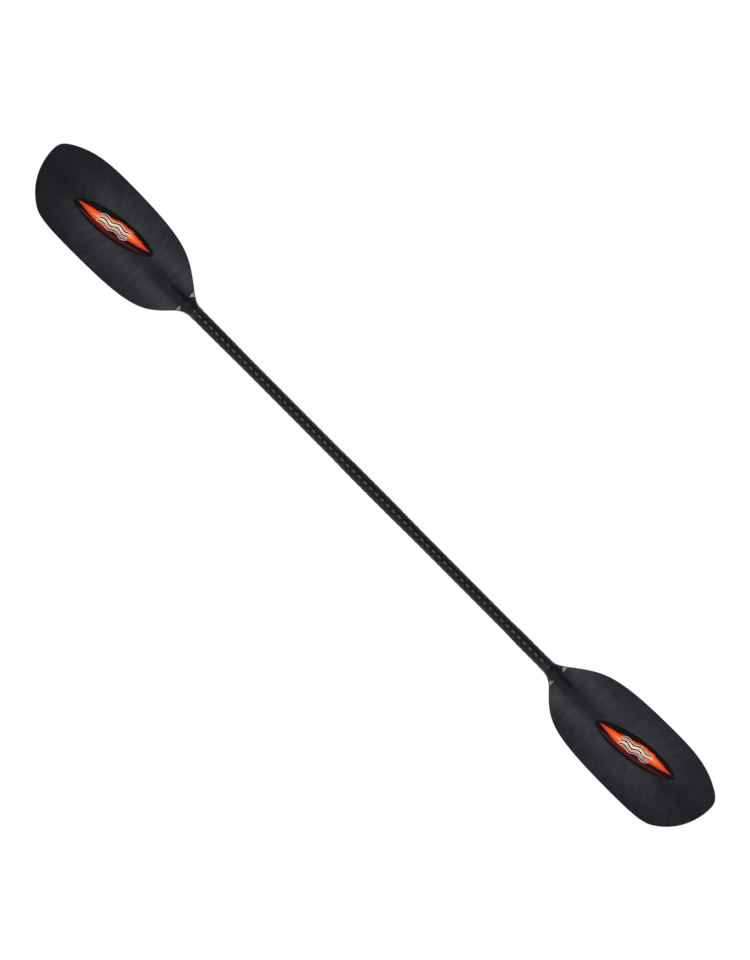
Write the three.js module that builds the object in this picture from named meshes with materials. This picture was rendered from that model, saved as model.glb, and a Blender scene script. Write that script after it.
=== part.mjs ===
// Two-bladed kayak paddle: a one-piece composite shaft with a moulded blade glued into each end.
// Millimetres. X runs along the shaft, Y across the blades, +Z out of the power faces.
// The origin is on the surface the paddle lies on, under the middle of the shaft.

import * as THREE from 'three';

// ---------------------------------------------------------------- driving dimensions

const OVERALL_LENGTH = 1970;
const BLADE_LENGTH = 454;
const SEAM_X = OVERALL_LENGTH / 2 - BLADE_LENGTH;

const SHAFT_RADIUS = 14.4;
const SHAFT_WALL = 1.5;
const GRIP_HALF_WIDTH = 13.4;
const GRIP_HALF_DEPTH = 15.35;
const SHAFT_SIDES = 24;

// Where each oval hand grip starts to swell, is full, starts to fade and has gone.
const LEFT_GRIP = [-502, -336, -115, -49];
const RIGHT_GRIP = [34, 165, 405, 451];

const GAP = 0.2;
const SEAM_BEAD_WIDTH = 0.8;
const SEAM_BEAD_RADIUS = 15.1;
const LEFT_BAND_LENGTH = 12;
const RIGHT_BAND_LENGTH = 15;
const BAND_THICKNESS = 0.5;
const BAND_CLEARANCE = 0.1;

const TANG_RADIUS = 12.1;
const TANG_LENGTH = 60;
const TANG_BORE_RADIUS = 8;
const TANG_BORE_END = 9;
const BOND_INNER_RADIUS = 12.4;
const BOND_THICKNESS = 0.3;

const PLUG_LENGTH = 30;
const PLUG_FROM_TANG = 6;
const PLUG_CLEARANCE = 0.3;

// The blade curves up towards its tip, and its long edges curl up into a shallow cup.
const BLADE_HALF_WIDTH = 94.5;
const TIP_RISE = 24;
const SPOON_START = 20;
const SPOON_POWER = 1.9;
const CUP_ROOT_DEPTH = 7;
const CUP_DEPTH = 6;
const CUP_START = 30;
const CUP_FULL = 170;
const CUP_FADE_START = 300;
const CUP_FADE_SHARE = 0.5;

const EDGE_HALF_THICKNESS = 1.1;
const EDGE_ROUNDING = 1.4;
const ROOT_HALF_THICKNESS = 1.9;
const TIP_HALF_THICKNESS = 1.5;

// The collar keeps the outline's full width to its end, then narrows into the nose between two
// flat shoulders, where the plate climbs from the parting line at this angle to its own level.
const COLLAR_END = 14;
const FLANGE_START = 8;
const SHOULDER_START = 16;
const SHOULDER_SLOPE = Math.tan(THREE.MathUtils.degToRad(24));
const SHOULDER_FILLET = 0.6;

// The blade's plate is folded into a low flat-topped ridge along its middle.
const RIDGE_ROOT_HEIGHT = 5;
const RIDGE_TIP_HEIGHT = 0.5;
const RIDGE_ROOT_HALF_WIDTH = 15.5;
const RIDGE_TIP_HALF_WIDTH = 8;
const RIDGE_ROOT_FLANK = 13;
const RIDGE_TIP_FLANK = 30;
const RIDGE_FADE = [110, 430];
const RIDGE_FLANK_SPREAD = [30, 260];
const RIDGE_EDGE_POWER = 6;

// Nose of the collar on the power face and spine on the back.
const COLLAR_HEIGHT = 14.8;
const NOSE_START = 32;
const NOSE_END = 165;
const NOSE_HALF_WIDTH = 18;
const NOSE_CROWN = 1.6;
const NOSE_FILLET = 2;
const SPINE_START = -20;
const SPINE_END = 310;
const SPINE_ROOT_HALF_WIDTH = 20;
const SPINE_END_HALF_WIDTH = 11;
const SPINE_CROWN = 1.3;

// Power that makes a rounded section a circle.
const CIRCLE_POWER = 0.5;

const EMBLEM_LENGTH = 206;
const EMBLEM_HALF_WIDTH = 26;
const EMBLEM_TURN = THREE.MathUtils.degToRad(9);
const EMBLEM_POINT = 1.2;
const EMBLEM_FILM = 0.3;
const EMBLEM_LIFT = 0.3;
const LEFT_EMBLEM_CENTRE = [-778, 4];
const RIGHT_EMBLEM_CENTRE = [785, 6];

// Mesh fineness: stations along each piece and steps across it.
const BLADE_STATIONS = 42;
const BLADE_STEPS = 30;
const SHAFT_STATION_SPACING = 60;
const EMBLEM_STATIONS = 44;
const EMBLEM_STEPS = 10;

// A blade's stations stand closer together near its root: this share of them in this share of its length.
const ROOT_STATIONS = 0.35;
const ROOT_LENGTH = 0.16;

// Share of the blade's length after which its stations bow out towards the end curve.
const BOW_START = 0.5;

// The paddle rests on the flats under its grips.
const AXIS_HEIGHT = GRIP_HALF_DEPTH * Math.cos(Math.PI / SHAFT_SIDES);

// ---------------------------------------------------------------- blade outline
// Distance from the seam, and distance from the shaft axis. Each row is a cubic curve.

const UPPER_SIDE = [
  [[0, 15], [13, 15.2], [37, 35.7], [39, 37.2]],
  [[39, 37.2], [95, 78.5], [116, BLADE_HALF_WIDTH], [297, BLADE_HALF_WIDTH]],
  [[297, BLADE_HALF_WIDTH], [363, BLADE_HALF_WIDTH], [393, 85.5], [420, 72]],
];
const LOWER_SIDE = [
  [[0, -15], [8, -15.2], [20, -18], [33, -31]],
  [[33, -31], [80, -80.5], [99, -BLADE_HALF_WIDTH], [277, -BLADE_HALF_WIDTH]],
  [[277, -BLADE_HALF_WIDTH], [371, -BLADE_HALF_WIDTH], [382, -89], [404, -72]],
];
const END_CURVE = [
  [[404, -72], [447, -38.5], [BLADE_LENGTH, 9], [BLADE_LENGTH, 30]],
  [[BLADE_LENGTH, 30], [BLADE_LENGTH, 48], [449, 57.5], [420, 72]],
];
const CURVE_STEPS = 24;

// ---------------------------------------------------------------- small helpers

const { lerp, clamp } = THREE.MathUtils;

function smooth(from, to, value) {
  const t = clamp((value - from) / (to - from), 0, 1);
  return t * t * (3 - 2 * t);
}

function smoothMax(a, b, width) {
  const h = clamp(0.5 + (a - b) / (2 * width), 0, 1);
  return lerp(b, a, h) + width * h * (1 - h);
}

function roundedHeight(share, power) {
  return Math.max(0, 1 - share ** 2) ** power;
}

function outlinePoints(rows) {
  const path = new THREE.CurvePath();
  for (const row of rows) {
    path.add(new THREE.CubicBezierCurve(...row.map((point) => new THREE.Vector2(...point))));
  }
  return path.curves.flatMap((curve, index) => curve.getPoints(CURVE_STEPS).slice(index ? 1 : 0));
}

// Second coordinate of a point list where its first coordinate has the given value.
function lookUp(points, value) {
  const last = points.length - 1;
  const next = clamp(points.findIndex((point) => point.x >= value), 1, last);
  const index = value > points[last].x ? last : next;
  const a = points[index - 1];
  const b = points[index];
  return lerp(a.y, b.y, clamp((value - a.x) / (b.x - a.x), 0, 1));
}

// Closed surface from four-cornered patches, each split along the line from its first corner to its third.
// Corners at the same place are shared, and triangles that shrink to nothing are dropped.
function closedSurface(patches) {
  const positions = [];
  const seen = new Map();
  const idOf = (point) => {
    const key = point.map((value) => value.toFixed(5)).join(',');
    if (!seen.has(key)) {
      seen.set(key, positions.length / 3);
      positions.push(...point);
    }
    return seen.get(key);
  };
  const faces = patches.flatMap((patch) => {
    const [a, b, c, d] = patch.map(idOf);
    return [[a, b, c], [a, c, d]];
  });
  return outwardGeometry(positions, faces.filter(([a, b, c]) => a !== b && b !== c && c !== a));
}

// Closed surface through rings of equal point count.
// Rings may repeat points: a ring squeezed to a point or to a slit closes that end.
function loft(rings, closedOnItself = false) {
  const count = rings[0].length;
  const bands = closedOnItself ? rings.length : rings.length - 1;
  const patches = [];
  for (let i = 0; i < bands; i += 1) {
    const near = rings[i];
    const far = rings[(i + 1) % rings.length];
    for (let j = 0; j < count; j += 1) {
      const k = (j + 1) % count;
      patches.push([near[j], far[j], far[k], near[k]]);
    }
  }
  return closedSurface(patches);
}

// Sheet of even thickness under rows of points. Both faces are split along the same lines,
// so they stay parallel however the sheet curves.
function sheet(rows, thickness) {
  const under = rows.map((row) => row.map(([x, y, z]) => [x, y, z - thickness]));
  const last = rows[0].length - 1;
  const patches = [];
  for (let i = 0; i + 1 < rows.length; i += 1) {
    for (let j = 0; j < last; j += 1) {
      patches.push([rows[i][j], rows[i + 1][j], rows[i + 1][j + 1], rows[i][j + 1]]);
      patches.push([under[i][j], under[i][j + 1], under[i + 1][j + 1], under[i + 1][j]]);
    }
    patches.push([rows[i][0], under[i][0], under[i + 1][0], rows[i + 1][0]]);
    patches.push([rows[i][last], rows[i + 1][last], under[i + 1][last], under[i][last]]);
  }
  return closedSurface(patches);
}

function outwardGeometry(positions, faces) {
  const corner = (id) => new THREE.Vector3().fromArray(positions, id * 3);
  let volume = 0;
  for (const [a, b, c] of faces) {
    volume += corner(a).dot(corner(b).cross(corner(c)));
  }
  const order = volume > 0 ? faces : faces.map(([a, b, c]) => [a, c, b]);
  const geometry = new THREE.BufferGeometry();
  geometry.setAttribute('position', new THREE.Float32BufferAttribute(positions, 3));
  geometry.setIndex(order.flat());
  geometry.computeVertexNormals();
  return geometry;
}

// ---------------------------------------------------------------- shaft and its fittings

function gripShare(x) {
  const share = ([start, full, fade, end]) => Math.min(smooth(start, full, x), 1 - smooth(fade, end, x));
  return Math.max(share(LEFT_GRIP), share(RIGHT_GRIP));
}

// Ring of the shaft's section at x, moved inward by inset; flats face +-Y and +-Z.
function shaftRing(x, inset) {
  const share = gripShare(x);
  const halfWidth = lerp(SHAFT_RADIUS, GRIP_HALF_WIDTH, share) - inset;
  const halfDepth = lerp(SHAFT_RADIUS, GRIP_HALF_DEPTH, share) - inset;
  return Array.from({ length: SHAFT_SIDES }, (_, side) => {
    const angle = ((side + 0.5) * 2 * Math.PI) / SHAFT_SIDES;
    return [x, halfWidth * Math.cos(angle), AXIS_HEIGHT + halfDepth * Math.sin(angle)];
  });
}

function shaftStations(end) {
  const marks = [-end, ...LEFT_GRIP, ...RIGHT_GRIP, end];
  const stations = [];
  for (let i = 0; i + 1 < marks.length; i += 1) {
    const pieces = Math.ceil((marks[i + 1] - marks[i]) / SHAFT_STATION_SPACING);
    for (let piece = 0; piece < pieces; piece += 1) {
      stations.push(lerp(marks[i], marks[i + 1], piece / pieces));
    }
  }
  return [...stations, end];
}

function shaftTube() {
  const stations = shaftStations(SEAM_X - SEAM_BEAD_WIDTH / 2 - GAP);
  const outside = stations.map((x) => shaftRing(x, 0));
  const inside = stations.map((x) => shaftRing(x, SHAFT_WALL)).reverse();
  return loft([...outside, ...inside], true);
}

// Ring-shaped piece from a profile of [distance from the seam, radius], on one side of the paddle.
function turnedPiece(side, profile) {
  const loop = [...profile, profile[0]].reverse();
  const points = loop.map(([along, radius]) => new THREE.Vector2(radius, along));
  const geometry = new THREE.LatheGeometry(points, SHAFT_SIDES, Math.PI / SHAFT_SIDES);
  geometry.rotateZ((-side * Math.PI) / 2);
  geometry.translate(side * SEAM_X, 0, AXIS_HEIGHT);
  return geometry;
}

function seamBand(side, length) {
  const end = -SEAM_BEAD_WIDTH / 2 - GAP;
  const inner = SHAFT_RADIUS + BAND_CLEARANCE;
  const outer = inner + BAND_THICKNESS;
  return turnedPiece(side, [[end - length, inner], [end, inner], [end, outer], [end - length, outer]]);
}

function epoxyBond(side) {
  const outer = BOND_INNER_RADIUS + BOND_THICKNESS;
  const bead = SEAM_BEAD_WIDTH / 2;
  return turnedPiece(side, [
    [-TANG_LENGTH, BOND_INNER_RADIUS],
    [bead, BOND_INNER_RADIUS],
    [bead, SEAM_BEAD_RADIUS],
    [-bead, SEAM_BEAD_RADIUS],
    [-bead, outer],
    [-TANG_LENGTH, outer],
  ]);
}

function foamPlug(side) {
  const far = SEAM_X - TANG_LENGTH - PLUG_FROM_TANG;
  const inset = SHAFT_WALL + PLUG_CLEARANCE;
  const ends = [far, far - PLUG_LENGTH];
  const rings = ends.map((x) => shaftRing(side * x, inset));
  const centres = ends.map((x) => Array(SHAFT_SIDES).fill([side * x, 0, AXIS_HEIGHT]));
  return loft([centres[0], ...rings, centres[1]]);
}

// ---------------------------------------------------------------- blade

const upperSide = outlinePoints(UPPER_SIDE);
const lowerSide = outlinePoints(LOWER_SIDE);
const endCurve = outlinePoints(END_CURVE);
const endAcross = endCurve.map((point) => new THREE.Vector2(point.y, point.x));
const wholeOutline = [...lowerSide, ...endCurve, ...[...upperSide].reverse()];

// Distance from a point of the blade to its outline.
function edgeDistance(u, y) {
  const spot = new THREE.Vector2(u, y);
  const nearest = new THREE.Vector2();
  let best = Infinity;
  for (let i = 0; i + 1 < wholeOutline.length; i += 1) {
    const a = wholeOutline[i];
    const run = wholeOutline[i + 1].clone().sub(a);
    const share = clamp(spot.clone().sub(a).dot(run) / Math.max(run.lengthSq(), 1e-9), 0, 1);
    nearest.copy(a).addScaledVector(run, share);
    best = Math.min(best, nearest.distanceTo(spot));
  }
  return best;
}

// Height of the plate's middle surface without its ridge.
function spoonHeight(u) {
  const beyond = Math.max(0, u - SPOON_START) / (BLADE_LENGTH - SPOON_START);
  return TIP_RISE * beyond ** SPOON_POWER;
}

function cupHeight(u, across) {
  const fade = 1 - CUP_FADE_SHARE * smooth(CUP_FADE_START, BLADE_LENGTH, u);
  const depth = lerp(CUP_ROOT_DEPTH, CUP_DEPTH, smooth(CUP_START, CUP_FULL, u));
  return depth * fade * across * across;
}

function plateHalfThickness(u, across) {
  const centre = lerp(ROOT_HALF_THICKNESS, TIP_HALF_THICKNESS, u / BLADE_LENGTH);
  return lerp(centre, EDGE_HALF_THICKNESS, across * across);
}

function ridgeHeight(u, y, across) {
  const along = smooth(...RIDGE_FADE, u);
  const height = lerp(RIDGE_ROOT_HEIGHT, RIDGE_TIP_HEIGHT, along);
  const flat = lerp(RIDGE_ROOT_HALF_WIDTH, RIDGE_TIP_HALF_WIDTH, along);
  const flank = lerp(RIDGE_ROOT_FLANK, RIDGE_TIP_FLANK, smooth(...RIDGE_FLANK_SPREAD, u));
  const outside = Math.max(0, Math.abs(y) - flat) / flank;
  return (height * (1 - Math.abs(across) ** RIDGE_EDGE_POWER)) / (1 + outside * outside);
}

// Share of the way out from the middle of the nose or spine, which are as wide as the collar at its end.
function bodyShare(u, y, across, halfWidth) {
  const narrowed = clamp((u - COLLAR_END) / (NOSE_START - COLLAR_END), 0, 1);
  return lerp(Math.abs(across), Math.abs(y) / halfWidth, narrowed);
}

function noseHeight(u, y, across) {
  const fade = clamp((u - COLLAR_END) / (NOSE_END - COLLAR_END), 0, 1);
  const crown = lerp(CIRCLE_POWER, NOSE_CROWN, smooth(COLLAR_END, NOSE_START, u));
  const share = bodyShare(u, y, across, NOSE_HALF_WIDTH);
  return COLLAR_HEIGHT * (1 - fade) * roundedHeight(share, crown);
}

// The back sinks from the plate's own back to the keel of the spine.
function backHeight(u, y, across, plateBack) {
  const fade = smooth(SPINE_START, SPINE_END, u);
  const halfWidth = lerp(SPINE_ROOT_HALF_WIDTH, SPINE_END_HALF_WIDTH, fade);
  const crown = lerp(CIRCLE_POWER, SPINE_CROWN, smooth(COLLAR_END, NOSE_START, u));
  const share = bodyShare(u, y, across, halfWidth);
  const keel = Math.min(plateBack, spoonHeight(u) - COLLAR_HEIGHT * (1 - fade));
  return lerp(plateBack, keel, roundedHeight(share, crown));
}

// A station is a line across the blade that bows out to the end curve as share reaches 1.
function bladeStation(share) {
  const low = { u: lowerSide.at(-1).x * share };
  const high = { u: upperSide.at(-1).x * share };
  low.y = lookUp(lowerSide, low.u);
  high.y = lookUp(upperSide, high.u);
  const bow = smooth(BOW_START, 1, share) * share;
  return { low, high, bow };
}

function stationPoint({ low, high, bow }, part) {
  const y = lerp(low.y, high.y, part);
  const endPart = lerp(endAcross[0].x, endAcross.at(-1).x, part);
  const chord = lerp(endAcross[0].y, endAcross.at(-1).y, part);
  const u = lerp(low.u, high.u, part) + bow * (lookUp(endAcross, endPart) - chord);
  return { u, y, across: 2 * part - 1 };
}

// Both faces: a round collar that turns into a plate with a nose in front and a spine behind.
function bladeHeights(u, y, across) {
  const spoon = spoonHeight(u);
  const shoulder = SHOULDER_SLOPE * Math.max(0, u - SHOULDER_START);
  const plate = cupHeight(u, across) + ridgeHeight(u, y, across);
  const middle = spoon - smoothMax(-plate, -shoulder, SHOULDER_FILLET);
  const flange = smooth(FLANGE_START, SHOULDER_START, u);
  const half = plateHalfThickness(u, across) * flange;
  const power = smoothMax(middle + half, spoon + noseHeight(u, y, across), NOSE_FILLET);
  const back = backHeight(u, y, across, middle - half);
  const inward = clamp(edgeDistance(u, y) / EDGE_ROUNDING, 0, 1);
  const rounded = lerp(1, Math.sqrt(1 - (1 - inward) ** 2), flange);
  return {
    top: lerp(middle, power, rounded),
    bottom: lerp(middle, back, rounded),
  };
}

// One ring goes across the power face and back across the other face.
function bladeRing(side, share) {
  const station = bladeStation(share);
  const power = [];
  const back = [];
  for (let step = 0; step <= BLADE_STEPS; step += 1) {
    const part = (1 - Math.cos((Math.PI * step) / BLADE_STEPS)) / 2;
    const { u, y, across } = stationPoint(station, part);
    const { top, bottom } = bladeHeights(u, y, across);
    const x = side * (SEAM_X + u);
    const closes = step === 0 || step === BLADE_STEPS || share === 1;
    const middle = (top + bottom) / 2;
    power.push([x, y, AXIS_HEIGHT + (closes ? middle : top)]);
    back.push([x, y, AXIS_HEIGHT + (closes ? middle : bottom)]);
  }
  return [...power, ...back.reverse().slice(1, -1)];
}

function roundRing(side, u, radius) {
  return Array.from({ length: 2 * BLADE_STEPS }, (_, step) => {
    const angle = Math.PI - (Math.PI * step) / BLADE_STEPS;
    return [side * (SEAM_X + u), radius * Math.cos(angle), AXIS_HEIGHT + radius * Math.sin(angle)];
  });
}

function bladeShares() {
  const start = (SEAM_BEAD_WIDTH / 2 + GAP) / lowerSide.at(-1).x;
  const shares = [];
  for (let station = 0; station < BLADE_STATIONS; station += 1) {
    const t = station / BLADE_STATIONS;
    const beyond = Math.sin(((t - ROOT_STATIONS) / (1 - ROOT_STATIONS)) * (Math.PI / 2));
    const eased = t < ROOT_STATIONS ? (ROOT_LENGTH * t) / ROOT_STATIONS : lerp(ROOT_LENGTH, 1, beyond);
    shares.push(lerp(start, 1, eased));
  }
  return [...shares, 1];
}

function blade(side) {
  const shoulder = SEAM_BEAD_WIDTH / 2 + GAP;
  const tang = [
    roundRing(side, TANG_BORE_END, 0),
    roundRing(side, TANG_BORE_END, TANG_BORE_RADIUS),
    roundRing(side, -TANG_LENGTH, TANG_BORE_RADIUS),
    roundRing(side, -TANG_LENGTH, TANG_RADIUS),
    roundRing(side, shoulder, TANG_RADIUS),
  ];
  return loft([...tang, ...bladeShares().map((share) => bladeRing(side, share))]);
}

// ---------------------------------------------------------------- emblem film

// Height of a blade's power face straight above or below (x, y), measured on its own facets.
function faceHeight(bladeMesh, x, y) {
  const above = new THREE.Vector3(x, y, AXIS_HEIGHT + BLADE_HALF_WIDTH);
  const ray = new THREE.Raycaster(above, new THREE.Vector3(0, 0, -1));
  return ray.intersectObject(bladeMesh)[0].point.z;
}

// Almond-shaped film over the power face, turned a little about its centre.
function emblem(bladeMesh, [centreX, centreY]) {
  const rows = [];
  for (let station = 0; station <= EMBLEM_STATIONS; station += 1) {
    const turn = (Math.PI * station) / EMBLEM_STATIONS;
    const along = (-EMBLEM_LENGTH / 2) * Math.cos(turn);
    const closes = station === 0 || station === EMBLEM_STATIONS;
    const halfWidth = closes ? 0 : EMBLEM_HALF_WIDTH * Math.sin(turn) ** EMBLEM_POINT;
    rows.push(Array.from({ length: EMBLEM_STEPS + 1 }, (_, step) => {
      const offset = halfWidth * ((2 * step) / EMBLEM_STEPS - 1);
      const x = centreX + along * Math.cos(EMBLEM_TURN) - offset * Math.sin(EMBLEM_TURN);
      const y = centreY + along * Math.sin(EMBLEM_TURN) + offset * Math.cos(EMBLEM_TURN);
      return [x, y, faceHeight(bladeMesh, x, y) + EMBLEM_LIFT + EMBLEM_FILM];
    }));
  }
  return sheet(rows, EMBLEM_FILM);
}

// ---------------------------------------------------------------- assembly

const materials = {
  carbon: new THREE.MeshStandardMaterial({ color: 0x1c1c1a, roughness: 0.25, metalness: 0.1 }),
  nylon: new THREE.MeshStandardMaterial({ color: 0x2b2b30, roughness: 0.55, metalness: 0 }),
  band: new THREE.MeshStandardMaterial({ color: 0x24232c, roughness: 0.35, metalness: 0 }),
  epoxy: new THREE.MeshStandardMaterial({ color: 0x3a3946, roughness: 0.15, metalness: 0 }),
  foam: new THREE.MeshStandardMaterial({ color: 0xc9c6bd, roughness: 0.9, metalness: 0 }),
  film: new THREE.MeshStandardMaterial({ color: 0xe4622a, roughness: 0.4, metalness: 0 }),
};

const paddle = new THREE.Group();

function addPiece(name, geometry, material) {
  const mesh = new THREE.Mesh(geometry, material);
  mesh.name = name;
  paddle.add(mesh);
  return mesh;
}

addPiece('shaft_tube', shaftTube(), materials.carbon);

const ends = [
  { name: 'left', side: -1, bandLength: LEFT_BAND_LENGTH, emblemCentre: LEFT_EMBLEM_CENTRE },
  { name: 'right', side: 1, bandLength: RIGHT_BAND_LENGTH, emblemCentre: RIGHT_EMBLEM_CENTRE },
];

for (const { name, side, bandLength, emblemCentre } of ends) {
  const bladeMesh = addPiece(`${name}_blade`, blade(side), materials.nylon);
  addPiece(`${name}_seam_band`, seamBand(side, bandLength), materials.band);
  addPiece(`${name}_epoxy_bond`, epoxyBond(side), materials.epoxy);
  addPiece(`${name}_foam_plug`, foamPlug(side), materials.foam);
  addPiece(`${name}_emblem`, emblem(bladeMesh, emblemCentre), materials.film);
}

export default paddle;
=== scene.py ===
"""Kayak paddle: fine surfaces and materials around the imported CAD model.

Shapes are worked out in millimetres with the CAD model's own formulas and turned into metres
when a mesh is made. X runs along the shaft, Y across the blades, +Z out of the power faces.
"""

import math

import bpy
import numpy as np
from mathutils import Matrix, Vector


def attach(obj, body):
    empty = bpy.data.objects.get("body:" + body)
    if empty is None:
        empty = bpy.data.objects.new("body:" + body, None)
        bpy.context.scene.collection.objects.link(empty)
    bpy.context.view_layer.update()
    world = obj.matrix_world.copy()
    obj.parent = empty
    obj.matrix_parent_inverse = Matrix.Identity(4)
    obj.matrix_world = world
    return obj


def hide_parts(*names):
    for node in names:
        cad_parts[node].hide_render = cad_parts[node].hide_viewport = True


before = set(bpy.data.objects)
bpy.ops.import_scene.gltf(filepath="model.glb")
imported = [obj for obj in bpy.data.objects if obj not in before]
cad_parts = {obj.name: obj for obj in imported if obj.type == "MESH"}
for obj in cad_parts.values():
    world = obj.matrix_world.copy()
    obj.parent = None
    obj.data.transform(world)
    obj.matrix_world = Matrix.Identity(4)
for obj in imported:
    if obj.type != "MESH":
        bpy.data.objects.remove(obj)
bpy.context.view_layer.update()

# ---------------------------------------------------------------- sizes, in millimetres

OVERALL_LENGTH = 1970.0
BLADE_LENGTH = 454.0
SEAM_X = OVERALL_LENGTH / 2 - BLADE_LENGTH

SHAFT_RADIUS = 14.4
SHAFT_WALL = 1.5
GRIP_HALF_WIDTH = 13.4
GRIP_HALF_DEPTH = 15.35
LEFT_GRIP = (-502, -336, -115, -49)
RIGHT_GRIP = (34, 165, 405, 451)

GAP = 0.2
SEAM_BEAD_WIDTH = 0.8
SEAM_BEAD_RADIUS = 15.1
BAND_LENGTHS = {"left": 12.0, "right": 15.0}
BAND_THICKNESS = 0.5
BAND_CLEARANCE = 0.1

COLLAR_HEIGHT = 14.8
TANG_RADIUS = 12.1
TANG_LENGTH = 60.0
TANG_BORE_RADIUS = 8.0
TANG_BORE_END = 9.0
BOND_INNER_RADIUS = 12.4
BOND_THICKNESS = 0.3
PLUG_LENGTH = 30.0
PLUG_FROM_TANG = 6.0
PLUG_CLEARANCE = 0.3
PLUG_CHAMFER = 1.0
PLUG_WAIST = 0.15

BLADE_HALF_WIDTH = 94.5
TIP_RISE = 24.0
SPOON_START = 20.0
SPOON_POWER = 1.9
CUP_ROOT_DEPTH = 7.0
CUP_DEPTH = 6.0
CUP_START = 30.0
CUP_FULL = 170.0
CUP_FADE_START = 300.0
CUP_FADE_SHARE = 0.5
EDGE_HALF_THICKNESS = 1.1
EDGE_ROUNDING = 1.4
ROOT_HALF_THICKNESS = 1.9
TIP_HALF_THICKNESS = 1.5
COLLAR_END = 14.0
FLANGE_START = 8.0
SHOULDER_START = 16.0
SHOULDER_SLOPE = math.tan(math.radians(24.0))
SHOULDER_FILLET = 0.6

RIDGE_ROOT_HEIGHT = 5.0
RIDGE_TIP_HEIGHT = 0.5
RIDGE_ROOT_HALF_WIDTH = 15.5
RIDGE_TIP_HALF_WIDTH = 8.0
RIDGE_ROOT_FLANK = 13.0
RIDGE_TIP_FLANK = 30.0
RIDGE_FADE = (110.0, 430.0)
RIDGE_FLANK_SPREAD = (30.0, 260.0)
RIDGE_EDGE_POWER = 6

NOSE_START = 32.0
NOSE_END = 165.0
NOSE_HALF_WIDTH = 18.0
NOSE_CROWN = 1.6
NOSE_FILLET = 2.0
SPINE_START = -20.0
SPINE_END = 310.0
SPINE_ROOT_HALF_WIDTH = 20.0
SPINE_END_HALF_WIDTH = 11.0
SPINE_CROWN = 1.3
CIRCLE_POWER = 0.5
BOW_START = 0.5

EMBLEM_LENGTH = 206.0
EMBLEM_HALF_WIDTH = 26.0
EMBLEM_TURN = math.radians(9)
EMBLEM_POINT = 1.2
EMBLEM_FILM = 0.12
EMBLEM_LIFT = 0.05
EMBLEM_CENTRES = {"left": (-778.0, 4.0), "right": (785.0, 6.0)}

CAD_SHAFT_SIDES = 24
AXIS_HEIGHT = GRIP_HALF_DEPTH * math.cos(math.pi / CAD_SHAFT_SIDES)

# Tows of the shaft's plain weave: length of a cell along the shaft, and cells around it.
TOW_WIDTH = 8.553
TOWS_AROUND = 10
WEAVE_START = -515.2 - TOW_WIDTH / 2

# Camera straight above the paddle: metres seen along the picture's long side, turn, and aim.
CAMERA_LENS = 250
VIEW_HEIGHT = 2.034
CAMERA_ROLL = math.radians(45.15)
VIEW_RIGHT = 0.00785
VIEW_UP = 0.01925

# Brightness of the surroundings, and power of the two strip lights.
SKY_DARK = 0.14
SKY_SOFT = 0.72
STRIP_POWER = 168

# Painted shade: how far the nylon's colour darkens towards each blade's tip, where the light fell off.
LEFT_TIP_PAINTED_SHADE = 0.9
RIGHT_TIP_PAINTED_SHADE = 0.3

# Mesh fineness.
SHAFT_SIDES = 96
SHAFT_STEP = 8.0
BLADE_STATIONS = 170
BLADE_STEPS = 96
CURVE_STEPS = 160
EMBLEM_STATIONS = 90
EMBLEM_STEPS = 24
# The first stations of a blade crowd into this share of its length.
ROOT_STATIONS = 0.4
ROOT_LENGTH = 0.22

# ---------------------------------------------------------------- blade outline

UPPER_SIDE = (
    ((0, 15), (13, 15.2), (37, 35.7), (39, 37.2)),
    ((39, 37.2), (95, 78.5), (116, BLADE_HALF_WIDTH), (297, BLADE_HALF_WIDTH)),
    ((297, BLADE_HALF_WIDTH), (363, BLADE_HALF_WIDTH), (393, 85.5), (420, 72)),
)
LOWER_SIDE = (
    ((0, -15), (8, -15.2), (20, -18), (33, -31)),
    ((33, -31), (80, -80.5), (99, -BLADE_HALF_WIDTH), (277, -BLADE_HALF_WIDTH)),
    ((277, -BLADE_HALF_WIDTH), (371, -BLADE_HALF_WIDTH), (382, -89), (404, -72)),
)
END_CURVE = (
    ((404, -72), (447, -38.5), (BLADE_LENGTH, 9), (BLADE_LENGTH, 30)),
    ((BLADE_LENGTH, 30), (BLADE_LENGTH, 48), (449, 57.5), (420, 72)),
)

# ---------------------------------------------------------------- small helpers


def lerp(a, b, t):
    return a + (b - a) * t


def smooth(start, end, value):
    t = np.clip((np.asarray(value, float) - start) / (end - start), 0, 1)
    return t * t * (3 - 2 * t)


def smooth_max(a, b, width):
    h = np.clip(0.5 + (a - b) / (2 * width), 0, 1)
    return lerp(b, a, h) + width * h * (1 - h)


def rounded_height(share, power):
    return np.maximum(0, 1 - share**2) ** power


def outline_points(rows):
    t = np.linspace(0, 1, CURVE_STEPS + 1)[:, None]
    parts = []
    for row in rows:
        a, b, c, d = (np.array(point, float) for point in row)
        curve = (1 - t) ** 3 * a + 3 * (1 - t) ** 2 * t * b + 3 * (1 - t) * t * t * c + t**3 * d
        parts.append(curve if not parts else curve[1:])
    return np.vstack(parts)


UPPER = outline_points(UPPER_SIDE)
LOWER = outline_points(LOWER_SIDE)
END = outline_points(END_CURVE)
OUTLINE = np.vstack([LOWER, END[1:], UPPER[::-1][1:]])


def edge_distance(u, y):
    """Distance of blade points from the outline."""
    spots = np.stack([np.ravel(u), np.ravel(y)], 1)
    start = OUTLINE[:-1]
    run = np.diff(OUTLINE, axis=0)
    best = np.full(len(spots), np.inf)
    for a, r in zip(start, run):
        share = np.clip(((spots - a) @ r) / max(r @ r, 1e-9), 0, 1)
        gap = spots - a - share[:, None] * r
        best = np.minimum(best, np.hypot(gap[:, 0], gap[:, 1]))
    return best.reshape(np.shape(u))


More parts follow.
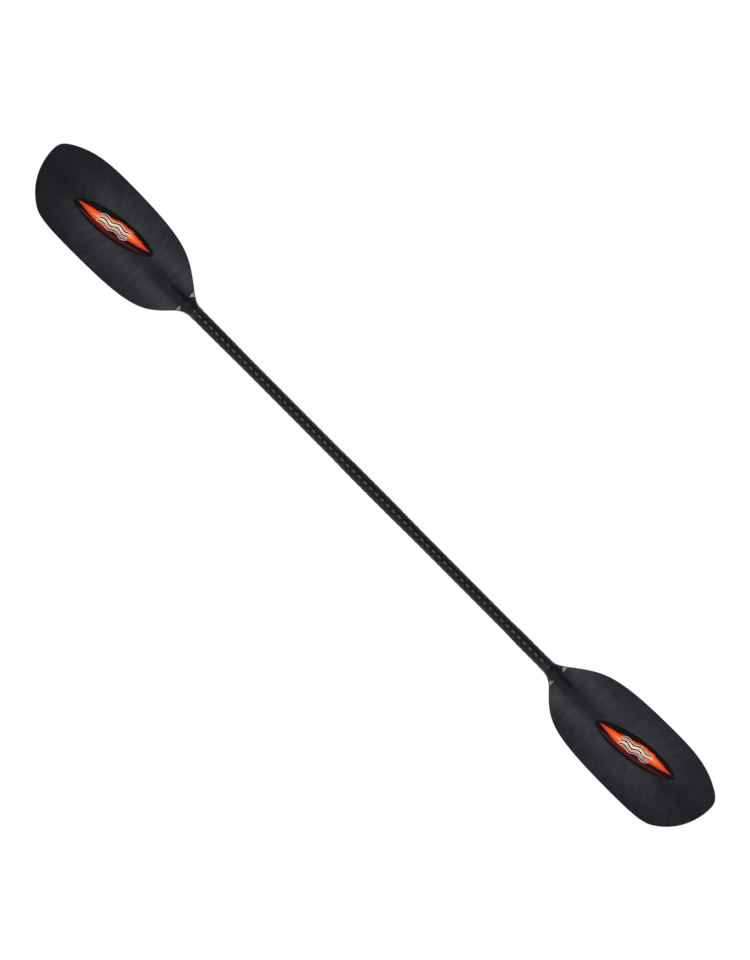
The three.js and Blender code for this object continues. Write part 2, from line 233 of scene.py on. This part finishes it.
def new_object(name, points_mm, faces, smooth_shaded=True):
    mesh = bpy.data.meshes.new(name)
    mesh.from_pydata([tuple(point * 0.001) for point in points_mm], [], faces)
    mesh.validate()
    if smooth_shaded:
        mesh.shade_smooth()
    piece = bpy.data.objects.new(name, mesh)
    bpy.context.scene.collection.objects.link(piece)
    return piece


def loft(name, rings, closed_on_itself=False):
    """Closed mesh through rings of equal point count; repeated points are shared."""
    rings = np.asarray(rings, float)
    count = rings.shape[1]
    flat = rings.reshape(-1, 3)
    keys = np.round(flat, 5)
    _, first, ids = np.unique(keys, axis=0, return_index=True, return_inverse=True)
    ids = ids.reshape(rings.shape[:2])
    faces = []
    total = len(rings) if closed_on_itself else len(rings) - 1
    for i in range(total):
        near = ids[i]
        far = ids[(i + 1) % len(rings)]
        for j in range(count):
            k = (j + 1) % count
            loop = [near[j], far[j], far[k], near[k]]
            face = [int(v) for n, v in enumerate(loop) if v != loop[n - 1]]
            if len(set(face)) == len(face) and len(face) > 2:
                faces.append(face)
    points = flat[first]
    if signed_volume(points, faces) < 0:
        faces = [face[::-1] for face in faces]
    return new_object(name, points, faces)


def signed_volume(points, faces):
    total = 0.0
    for face in faces:
        for second, third in zip(face[1:], face[2:]):
            total += points[face[0]] @ np.cross(points[second], points[third])
    return total


# ---------------------------------------------------------------- shaft and its fittings


def grip_share(x):
    def share(grip):
        start, full, fade, end = grip
        return min(smooth(start, full, x), 1 - smooth(fade, end, x))

    return max(share(LEFT_GRIP), share(RIGHT_GRIP))


def shaft_ring(x, inset, sides=SHAFT_SIDES):
    share = grip_share(x)
    angle = (np.arange(sides) + 0.5) * 2 * math.pi / sides
    half_width = lerp(SHAFT_RADIUS, GRIP_HALF_WIDTH, share) - inset
    half_depth = lerp(SHAFT_RADIUS, GRIP_HALF_DEPTH, share) - inset
    across = half_width * np.cos(angle)
    height = AXIS_HEIGHT + half_depth * np.sin(angle)
    return np.stack([np.full(sides, x), across, height], 1)


def shaft_tube():
    end = SEAM_X - SEAM_BEAD_WIDTH / 2 - GAP
    stations = np.linspace(-end, end, int(2 * end / SHAFT_STEP) + 1)
    outside = [shaft_ring(x, 0) for x in stations]
    inside = [shaft_ring(x, SHAFT_WALL) for x in stations[::-1]]
    return loft("carbon_shaft", outside + inside, closed_on_itself=True)


def turned_piece(name, side, profile, sides=96):
    """Ring-shaped piece from a closed profile of (distance from the seam, radius)."""
    angle = np.arange(sides) * 2 * math.pi / sides
    rings = []
    for along, radius in profile:
        x = np.full(sides, side * (SEAM_X + along))
        rings.append(np.stack([x, radius * np.cos(angle), AXIS_HEIGHT + radius * np.sin(angle)], 1))
    return loft(name, rings, closed_on_itself=True)


def rounded_profile(start, end, inner, outer, radius, steps=5):
    """Rectangle of a ring's wall with its two outer corners rounded."""
    turn = np.linspace(0, math.pi / 2, steps)
    near = [(start + radius - radius * math.cos(t), outer - radius + radius * math.sin(t)) for t in turn]
    far = [(end - radius + radius * math.sin(t), outer - radius + radius * math.cos(t)) for t in turn]
    return [(start, inner), *near, *far, (end, inner)]


def seam_band(name, side):
    end = -SEAM_BEAD_WIDTH / 2 - GAP
    inner = SHAFT_RADIUS + BAND_CLEARANCE
    outer = inner + BAND_THICKNESS
    profile = rounded_profile(end - BAND_LENGTHS[name], end, inner, outer, BAND_THICKNESS * 0.8)
    return turned_piece(f"{name}_trim_band", side, profile)


def epoxy_bond(name, side):
    bead = SEAM_BEAD_WIDTH / 2
    outer = BOND_INNER_RADIUS + BOND_THICKNESS
    arc = np.linspace(-math.pi / 2, math.pi / 2, 9)
    crown = [(bead * math.sin(t), SEAM_BEAD_RADIUS - bead * (1 - math.cos(t))) for t in arc]
    profile = [(-TANG_LENGTH, BOND_INNER_RADIUS), (-TANG_LENGTH, outer), (-bead, outer)]
    profile += [*crown, (bead, BOND_INNER_RADIUS)]
    return turned_piece(f"{name}_glue_bead", side, profile)


def foam_plug(name, side):
    far = SEAM_X - TANG_LENGTH - PLUG_FROM_TANG
    inset = SHAFT_WALL + PLUG_CLEARANCE
    near = far - PLUG_LENGTH
    stations = [
        (far, inset + PLUG_CHAMFER),
        (far - PLUG_CHAMFER, inset),
        (far - PLUG_LENGTH / 2, inset + PLUG_WAIST),
        (near + PLUG_CHAMFER, inset),
        (near, inset + PLUG_CHAMFER),
    ]
    rings = [shaft_ring(side * x, cut) for x, cut in stations]
    far_centre, near_centre = (np.tile((side * x, 0.0, AXIS_HEIGHT), (SHAFT_SIDES, 1)) for x in (far, near))
    return loft(f"{name}_sealing_foam", [far_centre, *rings, near_centre])


# ---------------------------------------------------------------- blades


def spoon_height(u):
    """Height of the plate's middle, u millimetres out from the seam."""
    beyond = np.maximum(0, u - SPOON_START) / (BLADE_LENGTH - SPOON_START)
    return TIP_RISE * beyond**SPOON_POWER


def cup_height(u, across):
    depth = lerp(CUP_ROOT_DEPTH, CUP_DEPTH, smooth(CUP_START, CUP_FULL, u))
    fade = 1 - CUP_FADE_SHARE * smooth(CUP_FADE_START, BLADE_LENGTH, u)
    return depth * fade * across**2


def plate_half_thickness(u, across):
    centre = lerp(ROOT_HALF_THICKNESS, TIP_HALF_THICKNESS, u / BLADE_LENGTH)
    return lerp(centre, EDGE_HALF_THICKNESS, across**2)


def ridge_height(u, y, across):
    along = smooth(*RIDGE_FADE, u)
    height = lerp(RIDGE_ROOT_HEIGHT, RIDGE_TIP_HEIGHT, along)
    flat = lerp(RIDGE_ROOT_HALF_WIDTH, RIDGE_TIP_HALF_WIDTH, along)
    flank = lerp(RIDGE_ROOT_FLANK, RIDGE_TIP_FLANK, smooth(*RIDGE_FLANK_SPREAD, u))
    outside = np.maximum(0, np.abs(y) - flat) / flank
    return height * (1 - np.abs(across) ** RIDGE_EDGE_POWER) / (1 + outside**2)


def body_share(u, y, across, half_width):
    """Share of the way out from the middle of the nose or spine, as wide as the collar at its end."""
    narrowed = np.clip((u - COLLAR_END) / (NOSE_START - COLLAR_END), 0, 1)
    return lerp(np.abs(across), np.abs(y) / half_width, narrowed)


def nose_height(u, y, across):
    fade = np.clip((u - COLLAR_END) / (NOSE_END - COLLAR_END), 0, 1)
    crown = lerp(CIRCLE_POWER, NOSE_CROWN, smooth(COLLAR_END, NOSE_START, u))
    share = body_share(u, y, across, NOSE_HALF_WIDTH)
    return COLLAR_HEIGHT * (1 - fade) * rounded_height(share, crown)


def back_height(u, y, across, plate_back):
    """The back sinks from the plate's own back to the keel of the spine."""
    fade = smooth(SPINE_START, SPINE_END, u)
    half_width = lerp(SPINE_ROOT_HALF_WIDTH, SPINE_END_HALF_WIDTH, fade)
    crown = lerp(CIRCLE_POWER, SPINE_CROWN, smooth(COLLAR_END, NOSE_START, u))
    share = body_share(u, y, across, half_width)
    keel = np.minimum(plate_back, spoon_height(u) - COLLAR_HEIGHT * (1 - fade))
    return lerp(plate_back, keel, rounded_height(share, crown))


def blade_heights(u, y, across):
    """Heights of the power face and the back over the shaft's axis."""
    spoon = spoon_height(u)
    shoulder = SHOULDER_SLOPE * np.maximum(0, u - SHOULDER_START)
    plate = cup_height(u, across) + ridge_height(u, y, across)
    middle = spoon - smooth_max(-plate, -shoulder, SHOULDER_FILLET)
    flange = smooth(FLANGE_START, SHOULDER_START, u)
    half = plate_half_thickness(u, across) * flange
    power = smooth_max(middle + half, spoon + nose_height(u, y, across), NOSE_FILLET)
    back = back_height(u, y, across, middle - half)
    inward = np.clip(edge_distance(u, y) / EDGE_ROUNDING, 0, 1)
    rounded = lerp(1, np.sqrt(1 - (1 - inward) ** 2), flange)
    return lerp(middle, power, rounded), lerp(middle, back, rounded)


def blade_shares():
    start = (SEAM_BEAD_WIDTH / 2 + GAP) / LOWER[-1, 0]
    t = np.linspace(0, 1, BLADE_STATIONS)
    root = ROOT_LENGTH * t / ROOT_STATIONS
    beyond = (t - ROOT_STATIONS) / (1 - ROOT_STATIONS)
    rest = lerp(ROOT_LENGTH, 1, np.sin(beyond * math.pi / 2))
    return lerp(start, 1, np.where(t < ROOT_STATIONS, root, rest))


def blade_rings(side):
    share = blade_shares()[:, None]
    part = (1 - np.cos(np.pi * np.arange(BLADE_STEPS + 1) / BLADE_STEPS))[None] / 2
    low_u = LOWER[-1, 0] * share
    high_u = UPPER[-1, 0] * share
    low_y = np.interp(low_u, LOWER[:, 0], LOWER[:, 1])
    high_y = np.interp(high_u, UPPER[:, 0], UPPER[:, 1])
    y = lerp(low_y, high_y, part)
    end_y = lerp(END[0, 1], END[-1, 1], part)
    bulge = np.interp(end_y, END[:, 1], END[:, 0]) - lerp(END[0, 0], END[-1, 0], part)
    u = lerp(low_u, high_u, part) + smooth(BOW_START, 1, share) * share * bulge
    across = 2 * part - 1 + 0 * u
    top, bottom = blade_heights(u, y, across)
    middle = (top + bottom) / 2
    shut = np.zeros_like(u, bool)
    shut[:, 0] = shut[:, -1] = shut[-1] = True
    top = np.where(shut, middle, top)
    bottom = np.where(shut, middle, bottom)
    x = side * (SEAM_X + u)
    power = np.stack([x, y, AXIS_HEIGHT + top], -1)
    back = np.stack([x, y, AXIS_HEIGHT + bottom], -1)
    return np.concatenate([power, back[:, -2:0:-1]], axis=1)


def round_ring(side, u, radius):
    angle = math.pi - math.pi * np.arange(2 * BLADE_STEPS) / BLADE_STEPS
    x = np.full(len(angle), side * (SEAM_X + u))
    return np.stack([x, radius * np.cos(angle), AXIS_HEIGHT + radius * np.sin(angle)], 1)


def blade(name, side):
    shoulder = SEAM_BEAD_WIDTH / 2 + GAP
    tang = [
        round_ring(side, TANG_BORE_END, 0),
        round_ring(side, TANG_BORE_END, TANG_BORE_RADIUS),
        round_ring(side, -TANG_LENGTH, TANG_BORE_RADIUS),
        round_ring(side, -TANG_LENGTH, TANG_RADIUS),
        round_ring(side, shoulder, TANG_RADIUS),
    ]
    return loft(f"{name}_moulded_blade", [*tang, *blade_rings(side)])


# ---------------------------------------------------------------- emblem film


def emblem(name, side):
    """Thin almond-shaped film on the power face, with its own flat coordinates as a UV map."""
    centre_x, centre_y = EMBLEM_CENTRES[name]
    turn = np.linspace(0, math.pi, EMBLEM_STATIONS + 1)[:, None]
    along = -EMBLEM_LENGTH / 2 * np.cos(turn)
    part = np.linspace(-1, 1, EMBLEM_STEPS + 1)[None]
    offset = EMBLEM_HALF_WIDTH * np.sin(turn) ** EMBLEM_POINT * part
    x = centre_x + along * math.cos(EMBLEM_TURN) - offset * math.sin(EMBLEM_TURN)
    y = centre_y + along * math.sin(EMBLEM_TURN) + offset * math.cos(EMBLEM_TURN)
    u = side * x - SEAM_X
    low = np.interp(u, LOWER[:, 0], LOWER[:, 1])
    high = np.interp(u, UPPER[:, 0], UPPER[:, 1])
    top, _ = blade_heights(u, y, 2 * (y - low) / (high - low) - 1)
    under = np.stack([x, y, AXIS_HEIGHT + top + EMBLEM_LIFT], -1)
    over = under + np.array([0, 0, EMBLEM_FILM])
    piece = loft(f"{name}_emblem_film", np.concatenate([over, under[:, ::-1]], axis=1))
    layer = piece.data.uv_layers.new(name="emblem")
    for loop in piece.data.loops:
        spot = piece.data.vertices[loop.vertex_index].co * 1000
        dx = spot.x - centre_x
        dy = spot.y - centre_y
        a = dx * math.cos(EMBLEM_TURN) + dy * math.sin(EMBLEM_TURN)
        b = dy * math.cos(EMBLEM_TURN) - dx * math.sin(EMBLEM_TURN)
        layer.data[loop.index].uv = (a, b)
    return piece


# ---------------------------------------------------------------- material building


class Nodes:
    """Short names for making and joining nodes of one tree."""

    def __init__(self, tree):
        self.tree = tree

    def node(self, kind, **inputs):
        made = self.tree.nodes.new(kind)
        for key, value in inputs.items():
            self.put(made.inputs[key.replace("_", " ")], value)
        return made

    def put(self, socket, value):
        if isinstance(value, bpy.types.NodeSocket):
            self.tree.links.new(value, socket)
        else:
            socket.default_value = value

    def math(self, operation, *values):
        made = self.tree.nodes.new("ShaderNodeMath")
        made.operation = operation
        for socket, value in zip(made.inputs, values):
            self.put(socket, value)
        return made.outputs[0]

    def add(self, *values):
        total = values[0]
        for value in values[1:]:
            total = self.math("ADD", total, value)
        return total

    def times(self, *values):
        total = values[0]
        for value in values[1:]:
            total = self.math("MULTIPLY", total, value)
        return total

    def less(self, first, second):
        return self.math("SUBTRACT", first, second)

    def step(self, value, start, end, low=0.0, high=1.0):
        """Smooth change from low to high as value goes from start to end."""
        made = self.tree.nodes.new("ShaderNodeMapRange")
        made.interpolation_type = "SMOOTHSTEP"
        for socket, number in zip(made.inputs, (value, start, end, low, high)):
            self.put(socket, number)
        return made.outputs["Result"]

    def mix(self, share, first, second):
        made = self.tree.nodes.new("ShaderNodeMix")
        made.data_type = "RGBA"
        for index, value in ((0, share), (6, first), (7, second)):
            self.put(made.inputs[index], value)
        return made.outputs[2]

    def vector(self, x, y, z):
        return self.node("ShaderNodeCombineXYZ", X=x, Y=y, Z=z).outputs[0]

    def noise(self, place, scale, detail=3.0, roughness=0.5):
        made = self.node("ShaderNodeTexNoise", Vector=place, Scale=scale, Detail=detail)
        made.inputs["Roughness"].default_value = roughness
        return made.outputs["Fac"]

    def bump(self, height, distance, strength=1.0):
        made = self.node("ShaderNodeBump", Height=height, Distance=distance, Strength=strength)
        return made.outputs["Normal"]


class Shader(Nodes):
    """One Principled material."""

    def __init__(self, name):
        self.material = bpy.data.materials.new(name)
        self.material.use_nodes = True
        super().__init__(self.material.node_tree)
        self.main = self.tree.nodes["Principled BSDF"]

    def set(self, **values):
        for key, value in values.items():
            self.put(self.main.inputs[key.replace("_", " ")], value)

    def place(self):
        """Object coordinates in millimetres: x along the shaft, y across, z over the shaft's axis."""
        coordinates = self.node("ShaderNodeTexCoord").outputs["Object"]
        parts = self.node("ShaderNodeSeparateXYZ", Vector=coordinates).outputs
        x, y, z = (self.times(part, 1000.0) for part in parts)
        return x, y, self.add(z, -AXIS_HEIGHT)


def grey(value):
    return (value, value, value, 1.0)


# ---------------------------------------------------------------- materials


def carbon_material():
    """Plain weave of hoop and axial tows, satin all over."""
    s = Shader("woven_carbon")
    x, y, z = s.place()
    along = s.times(s.add(x, -WEAVE_START), 1 / TOW_WIDTH)
    turn = s.math("ARCTAN2", y, z)
    around = s.add(s.times(turn, TOWS_AROUND / (2 * math.pi)), 0.5)
    cells = s.add(s.math("FLOOR", along), s.math("FLOOR", around))
    axial = s.math("FLOORED_MODULO", cells, 2.0)
    across_cell = s.times(
        s.math("SINE", s.times(s.math("FRACT", along), math.pi)),
        s.math("SINE", s.times(s.math("FRACT", around), math.pi)),
    )
    hoop_fibres = s.noise(s.vector(s.times(along, 14.0), s.times(around, 0.7), 0.0), 1.0)
    axial_fibres = s.noise(s.vector(s.times(along, 0.7), s.times(around, 14.0), 7.0), 1.0)
    fibres = s.add(s.times(hoop_fibres, s.less(1.0, axial)), s.times(axial_fibres, axial))
    hoop_colour = s.mix(fibres, grey(0.0037), grey(0.0100))
    axial_colour = s.mix(fibres, (0.0031, 0.0031, 0.0022, 1), (0.0072, 0.0072, 0.0057, 1))
    in_tow = s.step(s.math("POWER", across_cell, 0.5), 0.1, 0.45)
    s.set(Base_Color=s.mix(in_tow, grey(0.0009), s.mix(axial, hoop_colour, axial_colour)))
    satin = s.add(s.step(fibres, 0.3, 0.7, 0.37, 0.43), s.times(axial, 0.12))
    s.set(Roughness=satin, Anisotropic=0.95, Specular_IOR_Level=0.31)
    # Highlights stretch across the fibres: along the shaft on hoop tows, around it on axial tows.
    round_it = s.node("ShaderNodeVectorMath", Vector=s.vector(0.0, z, s.times(y, -1.0)))
    round_it.operation = "NORMALIZE"
    s.set(Tangent=s.mix(axial, (1.0, 0.0, 0.0, 1.0), round_it.outputs[0]))
    s.set(Normal=s.bump(s.add(s.times(across_cell, 0.6), s.times(fibres, 0.08)), 0.00011))
    return s.material


def nylon_material():
    """Charcoal moulding with feathered flow streaks, a painted highlight on the ridge's flanks and painted
    shade on the ridge's top and towards the tips.
    """
    s = Shader("moulded_nylon")
    x, y, z = s.place()
    u = s.add(s.math("ABSOLUTE", x), -SEAM_X)
    side = s.math("ABSOLUTE", y)
    # Flow streaks leave the ridge square to it and lean towards the tip further out.
    flow = s.less(u, s.times(side, s.step(u, 60.0, 420.0, 0.05, 0.55)))
    streaks = s.noise(s.vector(s.times(flow, 0.16), s.times(y, 0.022), s.times(x, 0.002)), 1.0, 4.0, 0.6)
    clouds = s.noise(s.vector(s.times(x, 0.04), s.times(y, 0.04), 3.0), 1.0, 3.0, 0.55)
    grain = s.noise(s.vector(s.times(x, 0.9), s.times(y, 0.9), s.times(z, 0.9)), 1.0, 4.0, 0.7)
    tone = s.add(
        s.times(s.step(streaks, 0.35, 0.68), 0.5),
        s.times(s.step(clouds, 0.3, 0.7), 0.3),
        s.times(grain, 0.2),
    )
    plain = s.mix(tone, (0.0042, 0.0041, 0.0066, 1), (0.0100, 0.0098, 0.0134, 1))
    # Painted shade: the top of the ridge is darker in colour. It and the neck are also smoother.
    crest = s.times(s.step(side, 9.0, 25.0, 1.0, 0.0), s.step(u, 60.0, 115.0, 1.0, 0.4))
    plain = s.mix(s.times(crest, 0.8), plain, (0.0017, 0.0017, 0.0026, 1))
    neck = s.step(u, 27.0, 42.0, 1.0, 0.0)
    polish = s.math("MAXIMUM", neck, crest)
    # Painted shade: the tips are darker in colour, the left one more than the right, so the two blades are
    # not alike.
    left_tip_shade = s.step(x, -740.0, -900.0, 0.0, LEFT_TIP_PAINTED_SHADE)
    right_tip_shade = s.step(x, 760.0, 900.0, 0.0, RIGHT_TIP_PAINTED_SHADE)
    tip = s.math("MAXIMUM", left_tip_shade, right_tip_shade)
    plain = s.mix(tip, plain, (0.0025, 0.0024, 0.0039, 1))
    flank = s.mix(tone, (0.0144, 0.0141, 0.0181, 1), (0.0256, 0.0253, 0.0306, 1))
    # Painted highlight: the flanks of the ridge are lightest near the root and fade towards the tip.
    strength = s.add(
        s.step(u, 30.0, 60.0, 0.0, 0.4),
        s.step(u, 110.0, 185.0, 0.6, 0.28),
        s.step(u, 270.0, 410.0, 0.0, -0.68),
    )
    spread = s.times(s.less(side, 34.0), s.step(u, 110.0, 200.0, 1 / 20, 1 / 34))
    near_flank = s.math("POWER", math.e, s.times(s.times(spread, spread), -1.0))
    flank_highlight_share = s.times(near_flank, s.math("MAXIMUM", strength, 0.0))
    s.set(Base_Color=s.mix(flank_highlight_share, plain, flank), Specular_IOR_Level=0.19)
    s.set(Roughness=s.less(s.add(0.33, s.times(tone, 0.1)), s.times(polish, 0.08)))
    relief = s.times(s.add(grain, s.times(streaks, 0.6)), s.less(1.0, neck))
    s.set(Normal=s.bump(relief, 0.0001))
    return s.material


def band_material():
    s = Shader("trim_vinyl")
    x, y, z = s.place()
    mottle = s.noise(s.vector(s.times(x, 0.8), s.times(y, 0.8), s.times(z, 0.8)), 1.0, 4.0, 0.6)
    s.set(Base_Color=s.mix(mottle, (0.0044, 0.0041, 0.0059, 1), (0.0100, 0.0095, 0.0128, 1)))
    s.set(Roughness=s.step(mottle, 0.3, 0.7, 0.24, 0.36), Specular_IOR_Level=0.31)
    s.set(Normal=s.bump(mottle, 0.00004))
    return s.material


def epoxy_material():
    s = Shader("clear_dark_epoxy")
    x, y, z = s.place()
    mottle = s.noise(s.vector(s.times(x, 0.5), s.times(y, 0.5), s.times(z, 0.5)), 1.0, 3.0, 0.5)
    s.set(Base_Color=s.mix(mottle, (0.0438, 0.0413, 0.0625, 1), (0.0750, 0.0706, 0.103, 1)))
    s.set(Roughness=s.step(mottle, 0.3, 0.7, 0.1, 0.2), Specular_IOR_Level=0.31)
    return s.material


def foam_material():
    s = Shader("closed_cell_foam")
    x, y, z = s.place()
    place = s.vector(x, y, z)
    cells = s.node("ShaderNodeTexVoronoi", Vector=place, Scale=1.1).outputs["Distance"]
    s.set(Base_Color=s.mix(cells, (0.437, 0.425, 0.387, 1), (0.262, 0.250, 0.225, 1)))
    s.set(Roughness=s.step(cells, 0.1, 0.7, 0.75, 0.95), Normal=s.bump(cells, 0.0003, 0.8))
    return s.material


def emblem_material():
    """Generic waves: a warm band and short ripples on black, with no letters."""
    s = Shader("emblem_print")
    uv = s.node("ShaderNodeUVMap")
    uv.uv_map = "emblem"
    a, b, _ = s.node("ShaderNodeSeparateXYZ", Vector=uv.outputs[0]).outputs
    reach = s.times(s.math("ABSOLUTE", a), 2 / (0.9 * EMBLEM_LENGTH))
    ends = s.math("MAXIMUM", s.less(1.0, s.times(reach, reach)), 0.0)

    def from_wave(length, phase, height, lift):
        """Distance across the film from a sine wave that flattens towards the film's ends."""
        swing = s.times(s.math("SINE", s.add(s.times(a, 2 * math.pi / length), phase)), height)
        return s.math("ABSOLUTE", s.less(b, s.add(s.times(swing, ends), lift)))

    def stripe(base, distance, half_width, paint, window=1.0):
        inside = s.step(s.less(distance, half_width), -0.25, 0.25, 1.0, 0.0)
        return s.mix(s.times(inside, window), base, paint)

    body = from_wave(170.0, 0.3, 4.0, 2.5)
    heat = s.less(ends, s.times(body, 0.055))
    warm = s.mix(s.step(heat, 0.15, 0.7), (0.437, 0.0187, 0.0062, 1), (0.594, 0.1000, 0.0125, 1))
    warm = s.mix(s.step(heat, 0.6, 1.0), warm, (0.562, 0.525, 0.206, 1))
    streaks = s.noise(s.vector(s.times(a, 0.03), s.times(b, 0.55), 0.0), 1.0, 3.0, 0.6)
    ragged = s.times(ends, s.step(streaks, 0.3, 0.7, 9.5, 15.0))
    colour = grey(0.0009)
    crescent = from_wave(420.0, math.pi / 2, -7.0, -10.0)
    colour = stripe(colour, crescent, s.times(ends, 3.4), (0.0687, 0.0025, 0.0031, 1))
    colour = stripe(colour, body, ragged, warm)
    near_middle = s.step(s.math("ABSOLUTE", a), 34.0, 42.0, 1.0, 0.0)
    for lift in (-7.0, 1.0, 9.0):
        ripple = from_wave(34.0, 0.0, 2.6, lift)
        colour = stripe(colour, ripple, s.times(near_middle, 2.5), (0.575, 0.575, 0.550, 1), near_middle)
        colour = stripe(colour, ripple, s.times(near_middle, 1.6), grey(0.0019), near_middle)
    s.set(Base_Color=colour, Roughness=0.42, Specular_IOR_Level=0.095)
    grain = s.noise(s.vector(s.times(a, 1.3), s.times(b, 1.3), 0.0), 1.0, 3.0, 0.6)
    s.set(Normal=s.bump(grain, 0.00003))
    return s.material


# ---------------------------------------------------------------- object


def finish_piece(piece, material, slot, *nodes):
    piece.data.materials.append(material)
    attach(piece, "root")
    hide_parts(*nodes)


carbon = carbon_material()
nylon = nylon_material()
vinyl = band_material()
epoxy = epoxy_material()
foam = foam_material()
print_film = emblem_material()

finish_piece(shaft_tube(), carbon, "carbon_shaft", "shaft_tube")
for end_name, end_side in (("left", -1), ("right", 1)):
    finish_piece(blade(end_name, end_side), nylon, "blade_nylon", f"{end_name}_blade")
    finish_piece(seam_band(end_name, end_side), vinyl, "seam_band", f"{end_name}_seam_band")
    finish_piece(epoxy_bond(end_name, end_side), epoxy, "epoxy", f"{end_name}_epoxy_bond")
    finish_piece(foam_plug(end_name, end_side), foam, "foam", f"{end_name}_foam_plug")
    finish_piece(emblem(end_name, end_side), print_film, "emblem_film", f"{end_name}_emblem")

# ---------------------------------------------------------------- stage


def make_floor():
    """White plane that shines evenly, so nothing shades it."""
    size = 30000.0
    corners = [(-size, -size), (size, -size), (size, size), (-size, size)]
    floor = new_object("floor", np.array([(x, y, -0.5) for x, y in corners]), [(0, 1, 2, 3)], False)
    s = Shader("white_floor")
    shine = s.node("ShaderNodeEmission", Color=grey(1.0), Strength=1.02)
    s.tree.links.new(shine.outputs[0], s.tree.nodes["Material Output"].inputs["Surface"])
    floor.data.materials.append(s.material)


def make_world():
    """Nearly black overhead, with a dim soft side towards -Y."""
    world = bpy.data.worlds.new("studio")
    bpy.context.scene.world = world
    world.use_nodes = True
    n = Nodes(world.node_tree)
    direction = n.node("ShaderNodeTexCoord").outputs["Generated"]
    y = n.node("ShaderNodeSeparateXYZ", Vector=direction).outputs["Y"]
    sky = n.step(y, 0.10, -0.40, SKY_DARK, SKY_SOFT)
    background = n.tree.nodes["Background"]
    n.put(background.inputs["Color"], n.vector(sky, sky, n.times(sky, 1.03)))
    background.inputs["Strength"].default_value = 1.0


def add_light(name, place, size, power):
    """Rectangular soft light aimed at the middle of the paddle, unseen by the camera."""
    lamp = bpy.data.lights.new(name, "AREA")
    lamp.shape = "RECTANGLE"
    lamp.size, lamp.size_y = size
    lamp.energy = power
    light = bpy.data.objects.new(name, lamp)
    light.location = place
    light.rotation_euler = (-Vector(place)).to_track_quat("-Z", "Y").to_euler()
    light.visible_camera = False
    bpy.context.scene.collection.objects.link(light)


def make_lights():
    add_light("strip_left", (-3.2, 0.15, 3.4), (1.2, 0.5), STRIP_POWER)
    add_light("strip_right", (3.2, 0.15, 3.4), (1.2, 0.5), STRIP_POWER)


def make_camera():
    data = bpy.data.cameras.new("camera")
    data.lens = CAMERA_LENS
    data.sensor_width = 36
    camera = bpy.data.objects.new("camera", data)
    distance = data.lens / data.sensor_width * VIEW_HEIGHT
    right = Vector((math.cos(CAMERA_ROLL), math.sin(CAMERA_ROLL), 0))
    up = Vector((-math.sin(CAMERA_ROLL), math.cos(CAMERA_ROLL), 0))
    centre = Vector((0, 0, AXIS_HEIGHT * 0.001)) + right * VIEW_RIGHT + up * VIEW_UP
    turn = Matrix((right, up, Vector((0, 0, 1)))).transposed().to_4x4()
    camera.matrix_world = Matrix.Translation(centre + Vector((0, 0, distance))) @ turn
    bpy.context.scene.collection.objects.link(camera)
    bpy.context.scene.camera = camera


make_floor()
make_world()
make_lights()
make_camera()
bpy.context.scene.view_settings.view_transform = "Standard"
